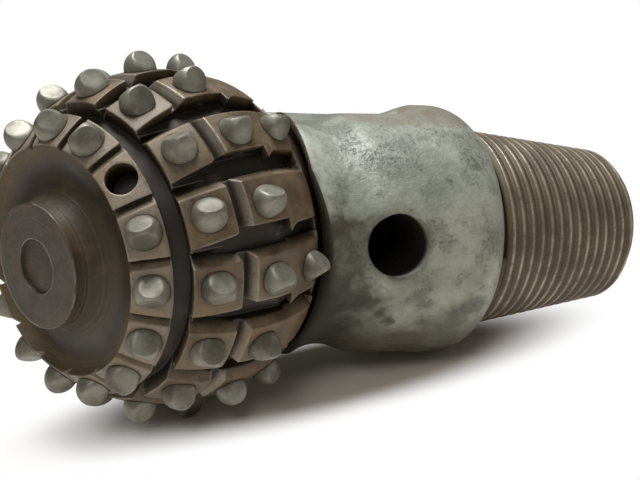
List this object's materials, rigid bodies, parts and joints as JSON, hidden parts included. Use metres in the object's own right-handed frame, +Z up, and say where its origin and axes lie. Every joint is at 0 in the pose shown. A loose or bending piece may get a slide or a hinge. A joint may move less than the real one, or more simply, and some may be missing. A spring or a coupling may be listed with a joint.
{
  "type": "single-cone rock bit",
  "caption": "Single-cone rock bit: a sphere-shaped cone with pressed-in wedge-crested inserts turns on a slanted journal of a lug with a wash port and a tapered threaded pin.",
  "frame": {"origin": "on the surface that the bit lies on, under the middle of its bounding box", "axes": "+Z up from that surface, +X along the bit from its cone to its threaded pin, the viewer of the picture at -Y"},
  "size_m": [0.2766, 0.1346, 0.1412],
  "materials": {
    "lug_paint": "worn satin",
    "cone_steel": "oxidised",
    "carbide": "worn satin",
    "bush_bronze": "machined",
    "hard_steel": "ground",
    "plug_steel": "machined",
    "weld_steel": "dressed weld"
  },
  "bodies": {
    "lug": {"lug_body": "lug_paint", "thrust_button": "hard_steel", "ball_plug": "plug_steel", "plug_weld": "weld_steel"},
    "cone": {"cone_shell": "cone_steel", "inserts_row_one": "carbide", "inserts_row_two": "carbide", "inserts_row_three": "carbide", "inserts_row_four": "carbide", "pilot_bush": "bush_bronze", "thrust_disc": "hard_steel"},
    "roller_set": {"main_roller_01": "hard_steel", "main_roller_02": "hard_steel", "main_roller_03": "hard_steel", "main_roller_04": "hard_steel", "main_roller_05": "hard_steel", "main_roller_06": "hard_steel", "main_roller_07": "hard_steel", "main_roller_08": "hard_steel", "main_roller_09": "hard_steel", "main_roller_10": "hard_steel", "main_roller_11": "hard_steel", "main_roller_12": "hard_steel", "main_roller_13": "hard_steel", "main_roller_14": "hard_steel", "main_roller_15": "hard_steel", "main_roller_16": "hard_steel", "main_roller_17": "hard_steel", "main_roller_18": "hard_steel"},
    "ball_set": {"lock_ball_01": "hard_steel", "lock_ball_02": "hard_steel", "lock_ball_03": "hard_steel", "lock_ball_04": "hard_steel", "lock_ball_05": "hard_steel", "lock_ball_06": "hard_steel", "lock_ball_07": "hard_steel", "lock_ball_08": "hard_steel", "lock_ball_09": "hard_steel", "lock_ball_10": "hard_steel", "lock_ball_11": "hard_steel", "lock_ball_12": "hard_steel"}
  },
  "joints": [
    {"name": "cone_spin", "type": "hinge", "parent": "lug", "child": "cone", "pos_m": [-0.06838, 0.00419, 0.06969], "axis": [-0.8635, -0.4978, 0.0812], "continuous": true},
    {"name": "roller_orbit", "type": "hinge", "parent": "lug", "child": "roller_set", "pos_m": [-0.06838, 0.00419, 0.06969], "axis": [-0.8635, -0.4978, 0.0812], "continuous": true},
    {"name": "ball_orbit", "type": "hinge", "parent": "lug", "child": "ball_set", "pos_m": [-0.06838, 0.00419, 0.06969], "axis": [-0.8635, -0.4978, 0.0812], "continuous": true}
  ],
  "couplings": [
    {"joint": "roller_orbit", "follows": "cone_spin", "ratio": 0.584},
    {"joint": "ball_orbit", "follows": "cone_spin", "ratio": 0.6221}
  ]
}
